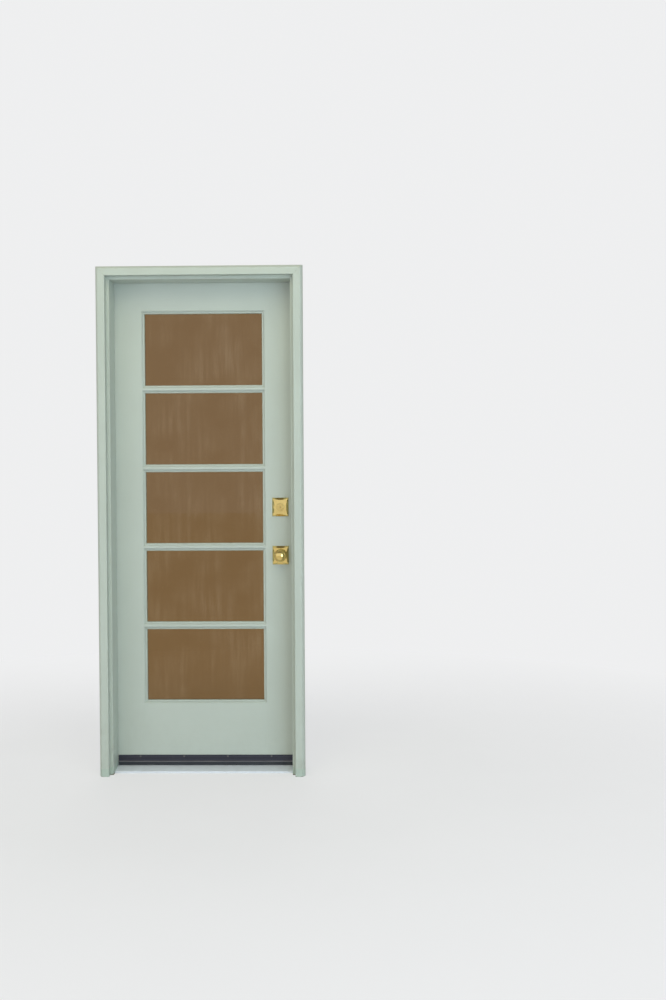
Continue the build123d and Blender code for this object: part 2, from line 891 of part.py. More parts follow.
def tailpiece_section(low, high):
    """A length of the flat tailpiece on the local axis."""
    return block(
        (-tailpiece_thickness / 2, tailpiece_thickness / 2),
        (-tailpiece_width / 2, tailpiece_width / 2),
        (low, high),
    )


def strike_blank(height, tall, back_y):
    """A strike plate let into the rabbet, from the far side of the bolt to back_y."""
    return block(
        (rabbet_x, rabbet_x + strike_thickness),
        (lock_middle_y - strike_width / 2, back_y),
        (height - tall / 2, height + tall / 2),
    )


def strike_screw_heads(height, tall):
    """Where a strike's two screws have their heads."""
    offset = tall / 2 - strike_screw_margin
    return [(rabbet_x, lock_middle_y, height + side * offset) for side in (-1, 1)]


def strike_lip():
    """The curved lip that the latch rides up on, past the jamb's indoor edge."""
    radius = strike_lip_radius
    ring = Circle(radius) - Circle(radius - strike_thickness)
    quarter = ring & Pos(-radius / 2, radius / 2) * Rectangle(radius, radius)
    curved = Pos(rabbet_x + radius, leaf_thickness) * quarter
    return upright(curved, knob_z - strike_lip_height / 2, knob_z + strike_lip_height / 2)


def bolt_pocket(height, thickness, tall, depth):
    """The hole in strike and jamb that a bolt runs into."""
    y = thickness / 2 + strike_hole_clearance
    z = tall / 2 + strike_hole_clearance
    pocket = block((rabbet_x, rabbet_x + depth), (-y, y), (-z, z))
    return Pos(0, lock_middle_y, height) * pocket


def sweep():
    """The extrusion on the leaf's foot, the rubber lip in its channel and its screws."""
    foot = sweep_top_z - sweep_carrier_height
    step_z = sweep_top_z - sweep_upper_height
    rib_top = foot + sweep_rib_height
    channel_front = -(seal_channel_back + seal_bead_thickness)
    lip_front = -(seal_channel_back + seal_lip_thickness)
    carrier_face = Polyline(
        (0, sweep_top_z),
        (-sweep_upper_thickness, sweep_top_z - sweep_step),
        (-sweep_upper_thickness, step_z),
        (-sweep_lower_thickness, step_z - sweep_step),
        (-sweep_lower_thickness, rib_top + sweep_step),
        (-sweep_rib_reach, rib_top),
        (-sweep_rib_reach, foot),
        (channel_front, foot),
        (channel_front, foot + seal_bead_height),
        (-seal_channel_back, foot + seal_bead_height),
        (-seal_channel_back, foot),
        (0, foot),
        close=True,
    )
    lip_foot = threshold_height + seal_lip_clearance
    bead_face = Polyline(
        (-seal_channel_back, foot + seal_bead_height),
        (channel_front, foot + seal_bead_height),
        (channel_front, foot),
        (-seal_channel_back, foot),
        close=True,
    )
    lip_face = Polyline(
        (-seal_channel_back, foot),
        (lip_front, foot),
        (lip_front, lip_foot + seal_lip_taper),
        (lip_front + seal_lip_taper, lip_foot),
        (-seal_channel_back, lip_foot),
        close=True,
    )
    seal = along(closed_face(bead_face), sweep_half) + along(closed_face(lip_face), sweep_half)
    last = sweep_half - sweep_screw_end_margin
    heads = [
        (place, -sweep_upper_thickness, sweep_top_z - sweep_screw_drop)
        for place in evenly(sweep_screw_count, -last, last)
    ]
    screws, holes = wood_screws(heads, (0, -1, 0), sweep_screw_length)
    carrier = cut(along(closed_face(carrier_face), sweep_half), holes)
    return carrier, seal, screws, holes


def build():
    """Every node of the door by name."""
    nodes = {}
    hinge_stile, lock_stile, rails = joinery()
    nodes.update(rails)
    nodes.update(glazing())

    strike_jamb = upright(jamb_face(stop_x), 0, head_back_z)
    hinge_jamb = other_hand(strike_jamb)
    side_jambs = [strike_jamb, hinge_jamb]
    nodes["head_jamb"] = cut(
        across(jamb_face(head_stop_z), jamb_back_x),
        [*side_jambs, across(kerf_face(head_stop_z), jamb_back_x)],
    )
    nodes["threshold"] = threshold(side_jambs)
    nodes.update(casings())
    side_strip = upright(strip_face(stop_x), threshold_height, head_stop_z + strip_inset)
    head_strip = across(strip_face(head_stop_z), stop_x + strip_inset + strip_width)
    nodes["strike_side_weatherstrip"] = side_strip
    nodes["hinge_side_weatherstrip"] = other_hand(side_strip)
    nodes["head_weatherstrip"] = cut(head_strip, side_jambs)
    side_kerf = upright(kerf_face(stop_x), 0, head_back_z)
    strike_jamb = strike_jamb - side_kerf
    hinge_jamb = hinge_jamb - other_hand(side_kerf)

    fixing_holes = jamb_fixing_holes()
    strike_jamb = cut(strike_jamb, fixing_holes)
    hinge_jamb = cut(hinge_jamb, [other_hand(hole) for hole in fixing_holes])

    frame_screws = []
    leaf_screws = []
    hinge_heights = {"top": top_hinge_z, "middle": middle_hinge_z, "bottom": bottom_hinge_z}
    for name, height in hinge_heights.items():
        made = hinge(height)
        nodes[f"{name}_hinge_jamb_leaf"] = made["jamb"]
        nodes[f"{name}_hinge_door_leaf"] = made["door"]
        nodes[f"{name}_hinge_pin"] = made["pin"]
        frame_screws += made["jamb_screws"]
        leaf_screws += made["door_screws"]
        hinge_jamb = cut(hinge_jamb, made["jamb_cuts"])
        hinge_stile = cut(hinge_stile, made["door_cuts"])

    latch_strike = strike_blank(knob_z, latch_strike_height, leaf_thickness) + strike_lip()
    deadbolt_strike = fillet(
        strike_blank(
            deadbolt_z, deadbolt_strike_height, lock_middle_y + strike_width / 2
        ).edges().filter_by(Axis.X),
        plate_corner_radius,
    )
    latch_pocket = bolt_pocket(knob_z, latch_thickness, latch_height, latch_pocket_depth)
    deadbolt_pocket = bolt_pocket(deadbolt_z, deadbolt_thickness, deadbolt_height, rabbet_wall)
    strikes = [
        ("latch_strike", latch_strike, latch_pocket, knob_z, latch_strike_height),
        ("deadbolt_strike", deadbolt_strike, deadbolt_pocket, deadbolt_z, deadbolt_strike_height),
    ]
    for name, blank, pocket, height, tall in strikes:
        heads = strike_screw_heads(height, tall)
        screws, holes = wood_screws(heads, (-1, 0, 0), jamb_wood_screw_length)
        frame_screws += screws
        nodes[name] = cut(blank, [pocket, *holes])
        strike_jamb = cut(strike_jamb, [blank, pocket, *holes])

    latch_slot = bolt_bar(
        latch_thickness, latch_height, latch_length, bolt_slot_clearance, bolt_slot_clearance
    )
    deadbolt_sizes = (deadbolt_thickness, deadbolt_height, deadbolt_length, deadbolt_corner_radius)
    deadbolt_slot = bolt_bar(*deadbolt_sizes, bolt_slot_clearance)
    spindle_hub = spindle_width / 2**0.5 + spindle_hub_clearance
    tailpiece_hub = tailpiece_width / 2 + tailpiece_hub_clearance
    locks = [
        ("latch_case", knob_z, latch_slot, spindle_hub),
        ("deadbolt_case", deadbolt_z, deadbolt_slot, tailpiece_hub),
    ]
    cross_bore = Rot(90, 0, 0) * Cylinder(cross_bore_radius, 2 * leaf_thickness)
    edge_bore = Rot(0, 90, 0) * disc(edge_bore_radius, bore_x, half_leaf)
    for name, height, slot, hub_radius in locks:
        screws, holes = wood_screws(faceplate_screw_heads(height), (1, 0, 0), leaf_wood_screw_length)
        leaf_screws += screws
        at_height = Pos(0, lock_middle_y, height)
        bores = [at_height * (Pos(bore_x, 0, 0) * cross_bore), at_height * edge_bore]
        lock_stile = cut(lock_stile, [*bores, edge_plate(height), *holes])
        nodes[name] = cut(lock_case(height, slot, hub_radius), holes)
    nodes["latch_bolt"] = Pos(0, lock_middle_y, knob_z) * latch()
    nodes["deadbolt"] = Pos(0, lock_middle_y, deadbolt_z) * bolt_bar(*deadbolt_sizes)

    knob_bore = knob_neck_radius + running_gap
    nodes["outside_knob_rose"] = outside_at(knob_z) * rose(knob_bore, True)
    nodes["inside_knob_rose"] = inside_at(knob_z) * rose(knob_bore, False)
    nodes["deadbolt_outside_rose"] = outside_at(deadbolt_z) * rose(
        cylinder_radius + cylinder_slack, True
    )
    nodes["deadbolt_inside_rose"] = inside_at(deadbolt_z) * rose(
        thumb_shaft_radius + running_gap, False
    )
    nodes["outside_knob"] = outside_at(knob_z) * knob()
    nodes["inside_knob"] = inside_at(knob_z) * knob()
    spindle = block(
        (-spindle_width / 2, spindle_width / 2),
        (-spindle_width / 2, spindle_width / 2),
        (-leaf_thickness - spindle_socket, spindle_socket),
    )
    nodes["knob_spindle"] = inside_at(knob_z) * spindle
    nodes["lock_cylinder"] = outside_at(deadbolt_z) * lock_cylinder()
    nodes["key_plug"] = outside_at(deadbolt_z) * key_plug()
    nodes["thumb_turn"] = inside_at(deadbolt_z) * thumb_turn()
    tailpiece_end = cylinder_back - plug_back_inset + tailpiece_end_gap - leaf_thickness
    nodes["tailpiece"] = inside_at(deadbolt_z) * tailpiece_section(tailpiece_end, 0)
    bolts = [
        inside_at(height) * (Pos(0, offset, 0) * lock_bolt()[0])
        for height in (knob_z, deadbolt_z)
        for offset in (-rose_post_offset, rose_post_offset)
    ]
    nodes["lock_bolts"] = Compound(children=bolts)

    carrier, seal, sweep_screws, sweep_holes = sweep()
    nodes["sweep_carrier"] = carrier
    nodes["sweep_seal"] = seal
    nodes["sweep_screws"] = Compound(children=sweep_screws)
    nodes["bottom_rail"] = cut(nodes["bottom_rail"], sweep_holes)
    nodes["hinge_stile"] = cut(hinge_stile, sweep_holes)
    nodes["lock_stile"] = cut(lock_stile, sweep_holes)
    nodes["hinge_jamb"] = hinge_jamb
    nodes["strike_jamb"] = strike_jamb
    nodes["frame_screws"] = Compound(children=frame_screws)
    nodes["leaf_screws"] = Compound(children=leaf_screws)
    return nodes


os.makedirs("parts", exist_ok=True)
for node_name, shape in build().items():
    export_step(shape, f"parts/{node_name}.step")
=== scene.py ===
import json
import math
import random

import bpy
from mathutils import Matrix, Vector


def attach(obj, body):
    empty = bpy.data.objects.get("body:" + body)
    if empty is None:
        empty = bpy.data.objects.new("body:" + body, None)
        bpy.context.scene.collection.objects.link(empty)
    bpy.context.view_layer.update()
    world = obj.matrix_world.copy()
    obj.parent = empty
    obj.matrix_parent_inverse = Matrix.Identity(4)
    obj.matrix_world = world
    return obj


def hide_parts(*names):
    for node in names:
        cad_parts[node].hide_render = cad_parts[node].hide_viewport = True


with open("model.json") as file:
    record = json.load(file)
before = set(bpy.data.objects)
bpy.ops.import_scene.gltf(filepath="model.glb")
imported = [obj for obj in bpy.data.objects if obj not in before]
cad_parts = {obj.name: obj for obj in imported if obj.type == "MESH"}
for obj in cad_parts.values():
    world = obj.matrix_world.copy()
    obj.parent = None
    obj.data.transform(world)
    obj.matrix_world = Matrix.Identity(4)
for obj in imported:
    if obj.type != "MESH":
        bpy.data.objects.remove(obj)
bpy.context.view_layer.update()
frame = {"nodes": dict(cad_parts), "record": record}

# Five-lite entry door with its frame. Metres: X to the lock side, Y indoors, Z up.

# Where the door's own parts are
LEAF_HALF = 0.381
LEAF_THICKNESS = 0.0445
RABBET_X = 0.384
HINGE_HEIGHTS = (1.8782, 1.1035, 0.3288)
HINGE_AXIS = (-0.3825, 0.052)
HINGE_HALF_HEIGHT = 0.0508
HINGE_SCREW_ROWS = (-0.038, -0.014, 0.014, 0.038)
HINGE_SCREW_DEPTHS = (0.016, 0.030)
BORE_X = 0.321
LOCK_MIDDLE_Y = LEAF_THICKNESS / 2
KNOB_Z = 0.904
DEADBOLT_Z = 1.107
LATCH_STRIKE_SCREW_OFFSET = 0.0205
DEADBOLT_STRIKE_SCREW_OFFSET = 0.027
FACEPLATE_SCREW_OFFSET = 0.021
ROSE_BOLT_OFFSET = 0.019
ROSE_PROJECTION = 0.009
SWEEP_SCREW_XS = (-0.2775, -0.0925, 0.0925, 0.2775)
SWEEP_FACE_Y = -0.004
SWEEP_SCREW_Z = 0.0545
# Heights of the painted highlight band on the sweep's proud rib
RIB_HIGHLIGHT_BAND = (0.031, 0.0365)
SIGHT_X = 0.2485
SIGHT_FOOT = 0.290
LITE_HEIGHT = 0.3031
LITE_PITCH = 0.3321
LITE_COUNT = 5
GLASS_FRONT_Y = 0.016
FILLET_WIDTH = 0.0018
FILLET_THICKNESS = 0.0003


# Setting objects up


def only(piece):
    """Leaves one object selected and active."""
    bpy.ops.object.select_all(action="DESELECT")
    piece.select_set(True)
    bpy.context.view_layer.objects.active = piece


def settle(piece, name):
    """Names a piece and puts its place into its mesh."""
    piece.name = name
    piece.data.name = name
    only(piece)
    bpy.ops.object.transform_apply(location=True, rotation=True, scale=True)
    return piece


def use_modifier(piece, kind, **settings):
    """Adds a modifier with its settings and applies it."""
    only(piece)
    modifier = piece.modifiers.new(kind.title(), kind)
    for key, value in settings.items():
        setattr(modifier, key, value)
    bpy.ops.object.modifier_apply(modifier=modifier.name)


def smooth(piece, degrees):
    only(piece)
    bpy.ops.object.shade_smooth_by_angle(angle=math.radians(degrees))


def dress(piece, body, slot_name, material, *nodes):
    """Gives a finished piece its paint or metal and its body, and hides the nodes that it stands for;
    slot_name is not used.
    """
    piece.data.materials.clear()
    piece.data.materials.append(material)
    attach(piece, body)
    if nodes:
        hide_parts(*nodes)
    return piece


# Shader building


def put(tree, kind, values=None, **settings):
    """Adds a shader node; values fill its sockets, a socket of another node is linked."""
    node = tree.nodes.new(kind)
    for key, value in settings.items():
        setattr(node, key, value)
    for key, value in (values or {}).items():
        if isinstance(value, bpy.types.NodeSocket):
            tree.links.new(value, node.inputs[key])
        else:
            node.inputs[key].default_value = value
    return node


def new_group(name, inputs, outputs):
    """A shader node group with named sockets, and its two end nodes."""
    tree = bpy.data.node_groups.new(name, "ShaderNodeTree")
    kinds = {"colour": "NodeSocketColor", "value": "NodeSocketFloat", "vector": "NodeSocketVector"}
    for label, kind in inputs.items():
        tree.interface.new_socket(label, in_out="INPUT", socket_type=kinds[kind])
    for label, kind in outputs.items():
        tree.interface.new_socket(label, in_out="OUTPUT", socket_type=kinds[kind])
    return tree, tree.nodes.new("NodeGroupInput").outputs, tree.nodes.new("NodeGroupOutput").inputs


def maths(tree, operation, *values, clamp=False):
    node = tree.nodes.new("ShaderNodeMath")
    node.operation = operation
    node.use_clamp = clamp
    for socket, value in zip(node.inputs, values):
        if isinstance(value, bpy.types.NodeSocket):
            tree.links.new(value, socket)
        else:
            socket.default_value = value
    return node.outputs[0]


def blend_colours(tree, share, first, second, mode="MIX"):
    node = tree.nodes.new("ShaderNodeMix")
    node.data_type = "RGBA"
    node.blend_type = mode
    for socket, value in ((node.inputs[0], share), (node.inputs[6], first), (node.inputs[7], second)):
        if isinstance(value, bpy.types.NodeSocket):
            tree.links.new(value, socket)
        else:
            socket.default_value = value
    return node.outputs[2]


def place_of(tree, scale):
    """Object coordinates stretched by a scale, which may be a socket."""
    place = tree.nodes.new("ShaderNodeTexCoord").outputs["Object"]
    return put(tree, "ShaderNodeMapping", {"Vector": place, "Scale": scale}).outputs[0]


def noise(tree, vector, scale, detail=3.0, roughness=0.5):
    values = {"Vector": vector, "Scale": scale, "Detail": detail, "Roughness": roughness}
    return put(tree, "ShaderNodeTexNoise", values).outputs["Fac"]


def ramp(tree, value, low, high, to_low=0.0, to_high=1.0):
    values = {"Value": value, "From Min": low, "From Max": high, "To Min": to_low, "To Max": to_high}
    return put(tree, "ShaderNodeMapRange", values).outputs[0]


def brushed_paint():
    """Satin paint with brush marks, mottling, painted shade in the hollows, splashes and a retouched,
    chipped foot.
    """
    tree, given, out = new_group(
        "brushed_paint",
        {"Colour": "colour", "Grime": "colour", "Primer": "colour", "Grain": "vector", "Foot": "value"},
        {"Colour": "colour", "Roughness": "value", "Height": "value"},
    )
    plain = place_of(tree, (1, 1, 1))
    strokes = noise(tree, place_of(tree, given["Grain"]), 1.0, 4.0, 0.6)
    peel = noise(tree, plain, 620.0, 2.0)
    mottle = noise(tree, plain, 4.5, 3.0)
    patches = noise(tree, plain, 26.0, 5.0, 0.62)
    height = put(tree, "ShaderNodeSeparateXYZ", {"Vector": plain}).outputs["Z"]
    low = ramp(tree, height, 0.34, 0.0)
    splashes = maths(tree, "MULTIPLY", low, ramp(tree, patches, 0.46, 0.68))
    splashes = maths(tree, "MULTIPLY", splashes, maths(tree, "MULTIPLY", given["Foot"], 0.22), clamp=True)
    # Painted shade: ambient occlusion darkens the paint in creases, quirks and between parts, where shade
    # falls.
    hollow = put(tree, "ShaderNodeAmbientOcclusion", {"Distance": 0.012}, samples=6).outputs["AO"]
    corner_shade = ramp(tree, hollow, 0.55, 0.2, 0.0, 0.16)
    corner_shade = maths(tree, "MULTIPLY", corner_shade, ramp(tree, patches, 0.3, 0.7, 0.5, 1.0))
    soiled_and_shaded = maths(tree, "MAXIMUM", splashes, corner_shade)
    tone = ramp(tree, mottle, 0.3, 0.7, 0.975, 1.02)
    tone = maths(tree, "ADD", tone, ramp(tree, strokes, 0.2, 0.8, -0.015, 0.015))
    toned = put(tree, "ShaderNodeHueSaturation", {"Color": given["Colour"], "Value": tone}).outputs[0]
    retouched = maths(tree, "MULTIPLY", ramp(tree, height, 0.034, 0.031), given["Foot"], clamp=True)
    toned = blend_colours(tree, retouched, toned, given["Primer"])
    edge = maths(tree, "ADD", height, ramp(tree, patches, 0.3, 0.7, 0.004, -0.006))
    chipped = maths(tree, "MULTIPLY", ramp(tree, edge, 0.002, 0.0005), given["Foot"], clamp=True)
    soiled_and_shaded = maths(tree, "MAXIMUM", soiled_and_shaded, chipped)
    # Splashes, chips and the painted shade in the hollows all blend towards one dark colour.
    tree.links.new(blend_colours(tree, soiled_and_shaded, toned, given["Grime"]), out["Colour"])
    rough = ramp(tree, mottle, 0.3, 0.7, 0.36, 0.46)
    rough = maths(tree, "ADD", rough, maths(tree, "MULTIPLY", soiled_and_shaded, 0.25))
    tree.links.new(rough, out["Roughness"])
    relief = maths(tree, "ADD", maths(tree, "MULTIPLY", strokes, 0.75), maths(tree, "MULTIPLY", peel, 0.35))
    tree.links.new(relief, out["Height"])
    return tree


def handled_metal():
    """Worn metal: fine grain along one way, finger smudges and dark tarnish in the hollows."""
    tree, given, out = new_group(
        "handled_metal",
        {"Colour": "colour", "Tarnish": "colour", "Grain": "vector", "Polish": "value", "Wear": "value"},
        {"Colour": "colour", "Roughness": "value", "Height": "value"},
    )
    plain = place_of(tree, (1, 1, 1))
    lines = noise(tree, place_of(tree, given["Grain"]), 1.0, 3.0, 0.6)
    smudges = noise(tree, plain, 85.0, 4.0, 0.6)
    blotches = noise(tree, plain, 19.0, 3.0)
    hollow = put(tree, "ShaderNodeAmbientOcclusion", {"Distance": 0.006}, samples=6).outputs["AO"]
    dark = maths(tree, "MULTIPLY", ramp(tree, hollow, 0.85, 0.3), 0.6)
    dark = maths(tree, "MAXIMUM", dark, maths(tree, "MULTIPLY", ramp(tree, blotches, 0.5, 0.75), 0.35))
    dark = maths(tree, "MULTIPLY", dark, given["Wear"], clamp=True)
    tree.links.new(blend_colours(tree, dark, given["Colour"], given["Tarnish"]), out["Colour"])
    rough = maths(tree, "ADD", given["Polish"], ramp(tree, smudges, 0.35, 0.75, -0.04, 0.12))
    rough = maths(tree, "ADD", rough, maths(tree, "MULTIPLY", dark, 0.3), clamp=True)
    tree.links.new(rough, out["Roughness"])
    tree.links.new(maths(tree, "ADD", lines, maths(tree, "MULTIPLY", smudges, 0.4)), out["Height"])
    return tree


def settled_dust():
    """A thin film of dust in clouds, with slanted wiping streaks and fallen specks."""
    tree, given, out = new_group(
        "settled_dust",
        {"Colour": "colour", "Dust": "colour", "Amount": "value"},
        {"Colour": "colour", "Roughness": "value", "Height": "value"},
    )
    plain = place_of(tree, (1, 1, 1))
    clouds = noise(tree, plain, 5.0, 3.0, 0.5)
    specks = noise(tree, plain, 420.0, 2.0)
    slant = tree.nodes.new("ShaderNodeTexCoord").outputs["Object"]
    wiping = {"Vector": slant, "Rotation": (0, math.radians(28), 0), "Scale": (46, 20, 3.2)}
    wiped = noise(tree, put(tree, "ShaderNodeMapping", wiping).outputs[0], 1.0, 5.0, 0.65)
    film = maths(tree, "MULTIPLY", ramp(tree, clouds, 0.38, 0.7), ramp(tree, specks, 0.3, 0.7, 0.6, 1.0))
    film = maths(tree, "MULTIPLY", film, ramp(tree, wiped, 0.42, 0.68, 0.15, 1.0))
    fallen = ramp(tree, noise(tree, plain, 150.0, 1.0), 0.735, 0.765)
    film = maths(tree, "MAXIMUM", film, fallen)
    film = maths(tree, "MULTIPLY", film, given["Amount"], clamp=True)
    tree.links.new(blend_colours(tree, film, given["Colour"], given["Dust"]), out["Colour"])
    tree.links.new(ramp(tree, film, 0.0, 1.0, 0.0, 0.4), out["Roughness"])
    tree.links.new(specks, out["Height"])
    return tree


PAINT_GROUP = brushed_paint()
METAL_GROUP = handled_metal()
DUST_GROUP = settled_dust()


def surface(name, group, values, bump, distance, base_roughness=0.0, **fixed):
    """A material of one Principled shader fed by a group; fixed values go on the shader's own sockets."""
    material = bpy.data.materials.new(name)
    material.use_nodes = True
    tree = material.node_tree
    shader = tree.nodes["Principled BSDF"]
    effect = tree.nodes.new("ShaderNodeGroup")
    effect.node_tree = group
    for key, value in values.items():
        effect.inputs[key].default_value = value
    for key, value in fixed.items():
        shader.inputs[key.replace("_", " ")].default_value = value
    tree.links.new(effect.outputs["Colour"], shader.inputs["Base Color"])
    roughness = effect.outputs["Roughness"]
    if base_roughness:
        roughness = maths(tree, "ADD", roughness, base_roughness, clamp=True)
    tree.links.new(roughness, shader.inputs["Roughness"])
    height = effect.outputs["Height"]
    relief = put(tree, "ShaderNodeBump", {"Height": height, "Strength": bump, "Distance": distance})
    tree.links.new(relief.outputs[0], shader.inputs["Normal"])
    return material


SAGE = (0.490, 0.538, 0.482, 1)
SAGE_FRAME = (0.476, 0.526, 0.464, 1)
FOOT_GREEN = (0.43, 0.515, 0.445, 1)
# Dark colour for splashes and chips at the foot, and for the painted shade in the hollows.
GRIME_AND_SHADE = (0.20, 0.19, 0.15, 1)
BRASS = (0.87, 0.68, 0.27, 1)
BRASS_TARNISH = (0.22, 0.12, 0.035, 1)
UPRIGHT_GRAIN = (260, 260, 9)
LEVEL_GRAIN = (9, 260, 260)


def painted(name, colour, grain, foot):
    values = {"Colour": colour, "Grime": GRIME_AND_SHADE, "Primer": FOOT_GREEN, "Grain": grain, "Foot": foot}
    return surface(name, PAINT_GROUP, values, 0.10, 0.0003)


def metal(name, colour, tarnish, grain, polish, wear, bump=0.12, **fixed):
    values = {"Colour": colour, "Tarnish": tarnish, "Grain": grain, "Polish": polish, "Wear": wear}
    return surface(name, METAL_GROUP, values, bump, 0.0002, **{"Metallic": 1.0, **fixed})


STILE_PAINT = painted("stile_paint", SAGE, UPRIGHT_GRAIN, 0.25)
RAIL_PAINT = painted("rail_paint", SAGE, LEVEL_GRAIN, 0.25)
JAMB_PAINT = painted("jamb_paint", SAGE_FRAME, UPRIGHT_GRAIN, 0.9)
HEAD_PAINT = painted("head_paint", SAGE_FRAME, LEVEL_GRAIN, 0.0)
POLISHED_BRASS = metal("polished_brass", BRASS, BRASS_TARNISH, (90, 90, 90), 0.13, 0.7)
HINGE_BRASS = metal("hinge_brass", BRASS, BRASS_TARNISH, (40, 700, 700), 0.27, 0.8)
LOCK_STEEL = metal("lock_steel", (0.55, 0.55, 0.56, 1), (0.16, 0.14, 0.12, 1), (700, 60, 700), 0.3, 0.6)
SILL_METAL = metal(
    "sill_metal", (0.80, 0.84, 0.90, 1), (0.42, 0.43, 0.44, 1), (6, 900, 900), 0.42, 0.4, Metallic=0.1,
)
SWEEP_METAL = metal(
    "sweep_metal", (0.075, 0.078, 0.105, 1), (0.13, 0.12, 0.12, 1), (5, 800, 800), 0.38, 0.5,
)


def paint_rib_highlight(material):
    """Paints a highlight on the sweep's proud rib: a lighter band, broken up by noise, where the rib would
    catch the light.
    """
    tree = material.node_tree
    shader = tree.nodes["Principled BSDF"]
    painted_colour = shader.inputs["Base Color"].links[0].from_socket
    height = put(tree, "ShaderNodeSeparateXYZ", {"Vector": place_of(tree, (1, 1, 1))}).outputs["Z"]
    low = ramp(tree, height, RIB_HIGHLIGHT_BAND[0] - 0.0005, RIB_HIGHLIGHT_BAND[0] + 0.0005)
    high = ramp(tree, height, RIB_HIGHLIGHT_BAND[1] + 0.0005, RIB_HIGHLIGHT_BAND[1] - 0.0005)
    highlight_breakup = noise(tree, place_of(tree, (14, 300, 300)), 1.0, 5.0, 0.65)
    rib_highlight = maths(tree, "MULTIPLY", low, high)
    rib_highlight = maths(tree, "MULTIPLY", rib_highlight, ramp(tree, highlight_breakup, 0.35, 0.6, 0.6, 1.0))
    # Painted highlight: the rib's band is blended towards a pale grey.
    highlighted = blend_colours(tree, rib_highlight, painted_colour, (0.27, 0.26, 0.28, 1))
    tree.links.new(highlighted, shader.inputs["Base Color"])


# Painted highlight along the sweep's rib.
paint_rib_highlight(SWEEP_METAL)
SWEEP_SCREW_METAL = metal(
    "sweep_screw_metal", (0.17, 0.17, 0.19, 1), (0.12, 0.11, 0.11, 1), (300, 300, 300), 0.35, 0.6,
)
SWEEP_RUBBER = surface(
    "sweep_rubber", DUST_GROUP,
    {"Colour": (0.022, 0.025, 0.032, 1), "Dust": (0.11, 0.11, 0.11, 1), "Amount": 0.35}, 0.2, 0.0002, 0.55,
)
FOAM_SKIN = surface(
    "foam_skin", DUST_GROUP,
    {"Colour": (0.055, 0.045, 0.038, 1), "Dust": (0.2, 0.18, 0.15, 1), "Amount": 0.35}, 0.3, 0.0003, 0.6,
)
SEALANT = surface(
    "glazing_sealant", DUST_GROUP,
    {"Colour": (0.42, 0.46, 0.38, 1), "Dust": (0.2, 0.18, 0.14, 1), "Amount": 0.6}, 0.25, 0.0002, 0.45,
)
BRONZE_GLASS = surface(
    "bronze_glass", DUST_GROUP,
    {"Colour": (0.205, 0.115, 0.040, 1), "Dust": (0.44, 0.33, 0.20, 1), "Amount": 0.42}, 0.0, 0.0001, 0.0,
    Transmission_Weight=1.0, IOR=1.45, Specular_IOR_Level=0.35,
)

LEVELS = ("top", "middle", "bottom")
ROSES = ["outside_knob_rose", "inside_knob_rose", "deadbolt_outside_rose", "deadbolt_inside_rose"]
NODE_MATERIALS = {
    STILE_PAINT: ["hinge_stile", "lock_stile"] + [f"glazing_beads_{n}" for n in range(1, 6)],
    RAIL_PAINT: ["top_rail", "bottom_rail"] + [f"glazing_bar_{n}" for n in range(1, 5)],
    JAMB_PAINT: ["hinge_jamb", "strike_jamb", "hinge_side_casing", "strike_side_casing"],
    HEAD_PAINT: ["head_jamb", "head_casing"],
    SILL_METAL: ["threshold"],
    SWEEP_METAL: ["sweep_carrier"],
    SWEEP_RUBBER: ["sweep_seal"],
    FOAM_SKIN: ["hinge_side_weatherstrip", "strike_side_weatherstrip", "head_weatherstrip"],
    BRONZE_GLASS: [f"glass_pane_{n}" for n in range(1, 6)],
    LOCK_STEEL: ["knob_spindle", "tailpiece", "lock_bolts", "latch_case", "deadbolt_case"],
    HINGE_BRASS: [f"{level}_hinge_{part}" for level in LEVELS
                  for part in ("jamb_leaf", "door_leaf", "pin")] + ["leaf_screws", "frame_screws"],
    POLISHED_BRASS: ROSES + ["latch_strike", "deadbolt_strike", "lock_cylinder", "key_plug",
                             "outside_knob", "inside_knob", "latch_bolt", "deadbolt", "thumb_turn"],
    SWEEP_SCREW_METAL: ["sweep_screws"],
}
MATERIAL_OF = {}
for material, names in NODE_MATERIALS.items():
    for name in names:
        node = frame["nodes"][name]
        node.data.materials.clear()
        node.data.materials.append(material)
        MATERIAL_OF[name] = material
SLOT_OF = {part["node"]: part["material_slot"] for part in frame["record"]["subparts"]}
BODY_OF = {name: body for body, names in frame["record"]["behaviour"]["bodies"].items() for name in names}


# Planed and painted members, with their edges eased


def eased(node, width, segments=2, corner=40, shade=35):
    """A merged copy of a node's form with its sharp edges rounded over."""
    mesh = frame["nodes"][node].data.copy()
    piece = bpy.data.objects.new(node + "_eased", mesh)
    bpy.context.scene.collection.objects.link(piece)
    only(piece)
    bpy.ops.object.mode_set(mode="EDIT")
    bpy.ops.mesh.select_all(action="SELECT")
    bpy.ops.mesh.remove_doubles(threshold=0.000002)
    bpy.ops.mesh.dissolve_limited(angle_limit=math.radians(0.6))
    bpy.ops.object.mode_set(mode="OBJECT")
    use_modifier(
        piece, "BEVEL", width=width, segments=segments, limit_method="ANGLE",
        angle_limit=math.radians(corner), use_clamp_overlap=True, miter_outer="MITER_ARC",
    )
    smooth(piece, shade)
    use_modifier(piece, "WEIGHTED_NORMAL", weight=100, keep_sharp=True)
    return dress(piece, BODY_OF[node], SLOT_OF[node], MATERIAL_OF[node], node)


EASED_WIDTHS = {
    0.0009: ["hinge_side_casing", "strike_side_casing", "head_casing",
             "hinge_jamb", "strike_jamb", "head_jamb"],
    0.0006: ["hinge_stile", "lock_stile", "top_rail", "bottom_rail"]
    + [f"glazing_bar_{n}" for n in range(1, 5)] + [f"glazing_beads_{n}" for n in range(1, 6)],
    0.0005: ["threshold", "sweep_carrier", "thumb_turn"],
    0.0003: [f"{level}_hinge_{part}" for level in LEVELS for part in ("jamb_leaf", "door_leaf")]
    + ["latch_strike", "deadbolt_strike", "lock_cylinder", "latch_bolt", "deadbolt"],
}
for width, names in EASED_WIDTHS.items():
    for name in names:
        eased(name, width)
for name in ROSES:
    eased(name, 0.0006, 3, corner=22, shade=60)


# Turned brass: knobs and hinge pins


